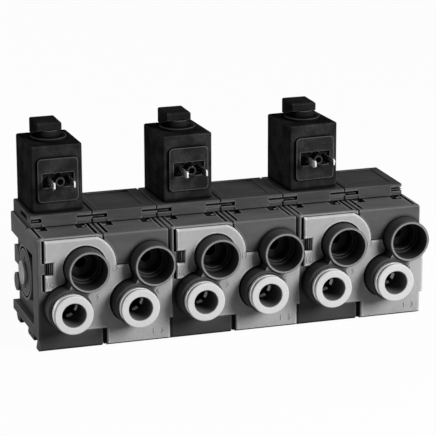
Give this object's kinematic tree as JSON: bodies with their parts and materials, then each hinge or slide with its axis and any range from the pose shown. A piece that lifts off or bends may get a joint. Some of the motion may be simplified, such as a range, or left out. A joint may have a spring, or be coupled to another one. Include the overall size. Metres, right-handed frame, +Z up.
{
  "type": "directional control valve",
  "caption": "Row of joined pilot-operated pneumatic valves: dark moulded slices with push-in tube ports and open sockets in front, plates over them and black solenoid coils on top.",
  "frame": {"origin": "middle of the underside of the whole row's box, on the plane that the feet stand on", "axes": "+X along the row of slices, -Y out of the tube ports, +Z up towards the solenoids"},
  "size_m": [0.146, 0.0518, 0.0765],
  "materials": {
    "body_plastic": "dark grey moulded plastic, fine satin grain",
    "cap_plastic": "dark grey moulded plastic, fine satin grain",
    "plate_plastic": "light grey sprayed plastic with a fine mottle",
    "coil_resin": "black moulded resin, satin",
    "nut_plastic": "black moulded plastic, satin",
    "tube_brass": "turned",
    "armature_steel": "ground",
    "spring_steel": "drawn wire",
    "spool_alloy": "turned and hard coated",
    "ring_plastic": "pale grey moulded plastic, satin",
    "sleeve_metal": "nickel plated, turned",
    "claw_steel": "bright stamped spring steel",
    "backing_plastic": "black moulded plastic",
    "seal_rubber": "black nitrile rubber",
    "insert_brass": "turned and threaded",
    "blade_tin": "tin plated, bright",
    "clip_steel": "dark drawn wire",
    "plug_plastic": "light grey moulded plastic"
  },
  "bodies": {
    "valve_bank": {"body_left_1": "body_plastic", "body_right_1": "body_plastic", "front_plate_1": "plate_plastic", "pilot_cap_1": "cap_plastic", "blank_cap_1": "cap_plastic", "coil_1": "coil_resin", "coil_nut_1": "nut_plastic", "armature_tube_1": "tube_brass", "armature_spring_1": "spring_steel", "spool_spring_left_1": "spring_steel", "spool_spring_right_1": "spring_steel", "body_left_2": "body_plastic", "body_right_2": "body_plastic", "front_plate_2": "plate_plastic", "pilot_cap_2": "cap_plastic", "blank_cap_2": "cap_plastic", "coil_2": "coil_resin", "coil_nut_2": "nut_plastic", "armature_tube_2": "tube_brass", "armature_spring_2": "spring_steel", "spool_spring_left_2": "spring_steel", "spool_spring_right_2": "spring_steel", "body_left_3": "body_plastic", "body_right_3": "body_plastic", "front_plate_3": "plate_plastic", "pilot_cap_3": "cap_plastic", "blank_cap_3": "cap_plastic", "coil_3": "coil_resin", "coil_nut_3": "nut_plastic", "armature_tube_3": "tube_brass", "armature_spring_3": "spring_steel", "spool_spring_left_3": "spring_steel", "spool_spring_right_3": "spring_steel", "fitting_sleeves": "sleeve_metal", "tube_grip_claws": "claw_steel", "backing_rings": "backing_plastic", "tube_seals": "seal_rubber", "cap_gaskets": "seal_rubber", "coil_gaskets": "seal_rubber", "connector_inserts": "insert_brass", "contact_blades": "blade_tin", "joining_clips": "clip_steel", "channel_seals": "seal_rubber", "supply_plugs": "plug_plastic"},
    "armature_slider_1": {"armature_1": "armature_steel"},
    "spool_slider_left_1": {"spool_left_1": "spool_alloy"},
    "ring_slider_left_1": {"release_ring_left_1": "ring_plastic"},
    "spool_slider_right_1": {"spool_right_1": "spool_alloy"},
    "ring_slider_right_1": {"release_ring_right_1": "ring_plastic"},
    "armature_slider_2": {"armature_2": "armature_steel"},
    "spool_slider_left_2": {"spool_left_2": "spool_alloy"},
    "ring_slider_left_2": {"release_ring_left_2": "ring_plastic"},
    "spool_slider_right_2": {"spool_right_2": "spool_alloy"},
    "ring_slider_right_2": {"release_ring_right_2": "ring_plastic"},
    "armature_slider_3": {"armature_3": "armature_steel"},
    "spool_slider_left_3": {"spool_left_3": "spool_alloy"},
    "ring_slider_left_3": {"release_ring_left_3": "ring_plastic"},
    "spool_slider_right_3": {"spool_right_3": "spool_alloy"},
    "ring_slider_right_3": {"release_ring_right_3": "ring_plastic"}
  },
  "joints": [
    {"name": "armature_lift_1", "type": "slide", "parent": "valve_bank", "child": "armature_slider_1", "axis": [0, 0, 1], "range_m": [0, 0.0008], "stiffness_N_per_m": 600, "springref_m": -0.001, "deforming": ["armature_spring_1"]},
    {"name": "spool_shift_left_1", "type": "slide", "parent": "valve_bank", "child": "spool_slider_left_1", "axis": [0, 0, -1], "range_m": [0, 0.003], "stiffness_N_per_m": 400, "springref_m": -0.003, "deforming": ["spool_spring_left_1"]},
    {"name": "ring_press_left_1", "type": "slide", "parent": "valve_bank", "child": "ring_slider_left_1", "axis": [0, 1, 0], "range_m": [0, 0.001], "stiffness_N_per_m": 500, "springref_m": -0.001},
    {"name": "spool_shift_right_1", "type": "slide", "parent": "valve_bank", "child": "spool_slider_right_1", "axis": [0, 0, -1], "range_m": [0, 0.003], "stiffness_N_per_m": 400, "springref_m": -0.003, "deforming": ["spool_spring_right_1"]},
    {"name": "ring_press_right_1", "type": "slide", "parent": "valve_bank", "child": "ring_slider_right_1", "axis": [0, 1, 0], "range_m": [0, 0.001], "stiffness_N_per_m": 500, "springref_m": -0.001},
    {"name": "armature_lift_2", "type": "slide", "parent": "valve_bank", "child": "armature_slider_2", "axis": [0, 0, 1], "range_m": [0, 0.0008], "stiffness_N_per_m": 600, "springref_m": -0.001, "deforming": ["armature_spring_2"]},
    {"name": "spool_shift_left_2", "type": "slide", "parent": "valve_bank", "child": "spool_slider_left_2", "axis": [0, 0, -1], "range_m": [0, 0.003], "stiffness_N_per_m": 400, "springref_m": -0.003, "deforming": ["spool_spring_left_2"]},
    {"name": "ring_press_left_2", "type": "slide", "parent": "valve_bank", "child": "ring_slider_left_2", "axis": [0, 1, 0], "range_m": [0, 0.001], "stiffness_N_per_m": 500, "springref_m": -0.001},
    {"name": "spool_shift_right_2", "type": "slide", "parent": "valve_bank", "child": "spool_slider_right_2", "axis": [0, 0, -1], "range_m": [0, 0.003], "stiffness_N_per_m": 400, "springref_m": -0.003, "deforming": ["spool_spring_right_2"]},
    {"name": "ring_press_right_2", "type": "slide", "parent": "valve_bank", "child": "ring_slider_right_2", "axis": [0, 1, 0], "range_m": [0, 0.001], "stiffness_N_per_m": 500, "springref_m": -0.001},
    {"name": "armature_lift_3", "type": "slide", "parent": "valve_bank", "child": "armature_slider_3", "axis": [0, 0, 1], "range_m": [0, 0.0008], "stiffness_N_per_m": 600, "springref_m": -0.001, "deforming": ["armature_spring_3"]},
    {"name": "spool_shift_left_3", "type": "slide", "parent": "valve_bank", "child": "spool_slider_left_3", "axis": [0, 0, -1], "range_m": [0, 0.003], "stiffness_N_per_m": 400, "springref_m": -0.003, "deforming": ["spool_spring_left_3"]},
    {"name": "ring_press_left_3", "type": "slide", "parent": "valve_bank", "child": "ring_slider_left_3", "axis": [0, 1, 0], "range_m": [0, 0.001], "stiffness_N_per_m": 500, "springref_m": -0.001},
    {"name": "spool_shift_right_3", "type": "slide", "parent": "valve_bank", "child": "spool_slider_right_3", "axis": [0, 0, -1], "range_m": [0, 0.003], "stiffness_N_per_m": 400, "springref_m": -0.003, "deforming": ["spool_spring_right_3"]},
    {"name": "ring_press_right_3", "type": "slide", "parent": "valve_bank", "child": "ring_slider_right_3", "axis": [0, 1, 0], "range_m": [0, 0.001], "stiffness_N_per_m": 500, "springref_m": -0.001}
  ],
  "couplings": [
    {"joint": "spool_shift_right_1", "follows": "spool_shift_left_1", "ratio": 1},
    {"joint": "spool_shift_right_2", "follows": "spool_shift_left_2", "ratio": 1},
    {"joint": "spool_shift_right_3", "follows": "spool_shift_left_3", "ratio": 1}
  ]
}
